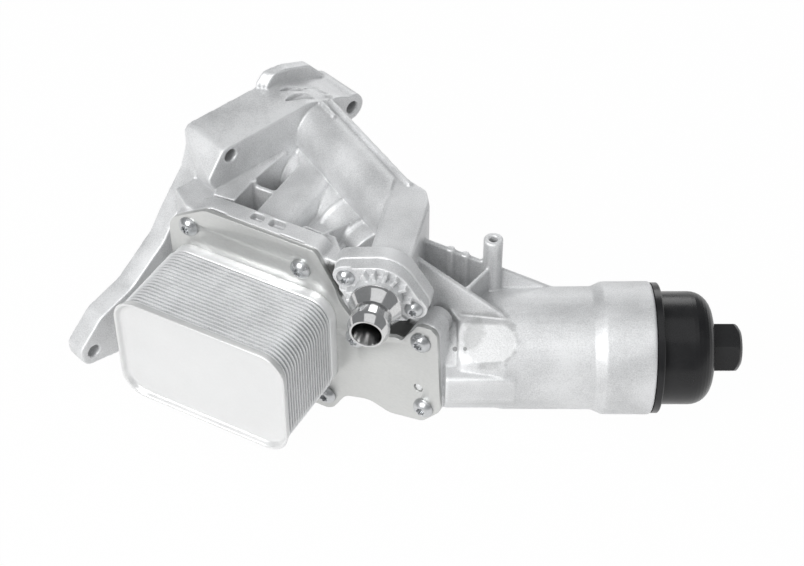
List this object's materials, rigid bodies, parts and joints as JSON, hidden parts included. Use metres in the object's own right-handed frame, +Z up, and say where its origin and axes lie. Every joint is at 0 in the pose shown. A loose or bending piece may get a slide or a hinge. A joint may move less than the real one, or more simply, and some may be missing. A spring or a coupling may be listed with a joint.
{
  "type": "oil filter housing",
  "caption": "Engine oil filter housing: cast aluminium bracket and ducts with a plate oil cooler, a coolant nipple, and a filter bowl closed by a screw-in cap.",
  "frame": {"origin": "upper left block bolt hole, on the face that bolts to the engine block", "axes": "+X along the filter bowl towards its cap, +Y away from the picture's viewer, +Z up"},
  "size_m": [0.3966, 0.2263, 0.1567],
  "materials": {
    "housing": "die cast, bead blasted",
    "cooler_base_plate": "rolled plate, brazed",
    "cooler_foot_plate": "pressed and brazed",
    "cooler_core_plates": "pressed and brazed",
    "cooler_cover": "pressed and brazed",
    "cooler_channel_seal": "moulded",
    "cooler_port_seals": "moulded",
    "cooler_screws": "zinc plated",
    "coolant_nipple": "turned, bright",
    "nipple_flange": "die cast",
    "nipple_seal": "moulded",
    "nipple_screws": "zinc plated",
    "filter_cap": "moulded, satin",
    "cap_seal": "moulded",
    "support_cage": "moulded",
    "outlet_seal": "moulded",
    "filter_pleats": "pleated filter paper",
    "element_inner_cap": "moulded",
    "element_outer_cap": "moulded",
    "bypass_plunger": "moulded",
    "bypass_spring": "wound wire",
    "bypass_spring_seat": "moulded",
    "check_valve_disc": "moulded",
    "check_valve_spring": "wound wire",
    "check_valve_guide": "moulded",
    "coolant_port_seal": "moulded",
    "oil_port_seals": "moulded"
  },
  "bodies": {
    "casting": {"housing": "housing", "cooler_base_plate": "cooler_base_plate", "cooler_foot_plate": "cooler_foot_plate", "cooler_core_plates": "cooler_core_plates", "cooler_cover": "cooler_cover", "cooler_channel_seal": "cooler_channel_seal", "cooler_port_seals": "cooler_port_seals", "cooler_screws": "cooler_screws", "coolant_nipple": "coolant_nipple", "nipple_flange": "nipple_flange", "nipple_seal": "nipple_seal", "nipple_screws": "nipple_screws", "check_valve_spring": "check_valve_spring", "check_valve_guide": "check_valve_guide", "coolant_port_seal": "coolant_port_seal", "oil_port_seals": "oil_port_seals"},
    "element": {"support_cage": "support_cage", "outlet_seal": "outlet_seal", "filter_pleats": "filter_pleats", "element_inner_cap": "element_inner_cap", "element_outer_cap": "element_outer_cap", "bypass_spring_seat": "bypass_spring_seat", "bypass_spring": "bypass_spring"},
    "cap": {"filter_cap": "filter_cap", "cap_seal": "cap_seal"},
    "bypass": {"bypass_plunger": "bypass_plunger"},
    "check_disc": {"check_valve_disc": "check_valve_disc"}
  },
  "joints": [
    {"name": "element_slide", "type": "slide", "parent": "casting", "child": "element", "axis": [1, 0, 0], "range_m": [0, 0.015]},
    {"name": "cap_turn", "type": "hinge", "parent": "element", "child": "cap", "pos_m": [0.266, -0.098, -0.084], "axis": [1, 0, 0], "range_deg": [0, 1800.5]},
    {"name": "bypass_slide", "type": "slide", "parent": "element", "child": "bypass", "axis": [-1, 0, 0], "range_m": [0, 0.004], "stiffness_N_per_m": 1500, "springref_m": -0.003, "deforming": ["bypass_spring"]},
    {"name": "check_slide", "type": "slide", "parent": "casting", "child": "check_disc", "axis": [1, 0, 0], "range_m": [0, 0.0035], "stiffness_N_per_m": 300, "springref_m": -0.002, "deforming": ["check_valve_spring"]}
  ],
  "couplings": [
    {"joint": "cap_turn", "follows": "element_slide", "rad_per_m": 2094.4}
  ]
}
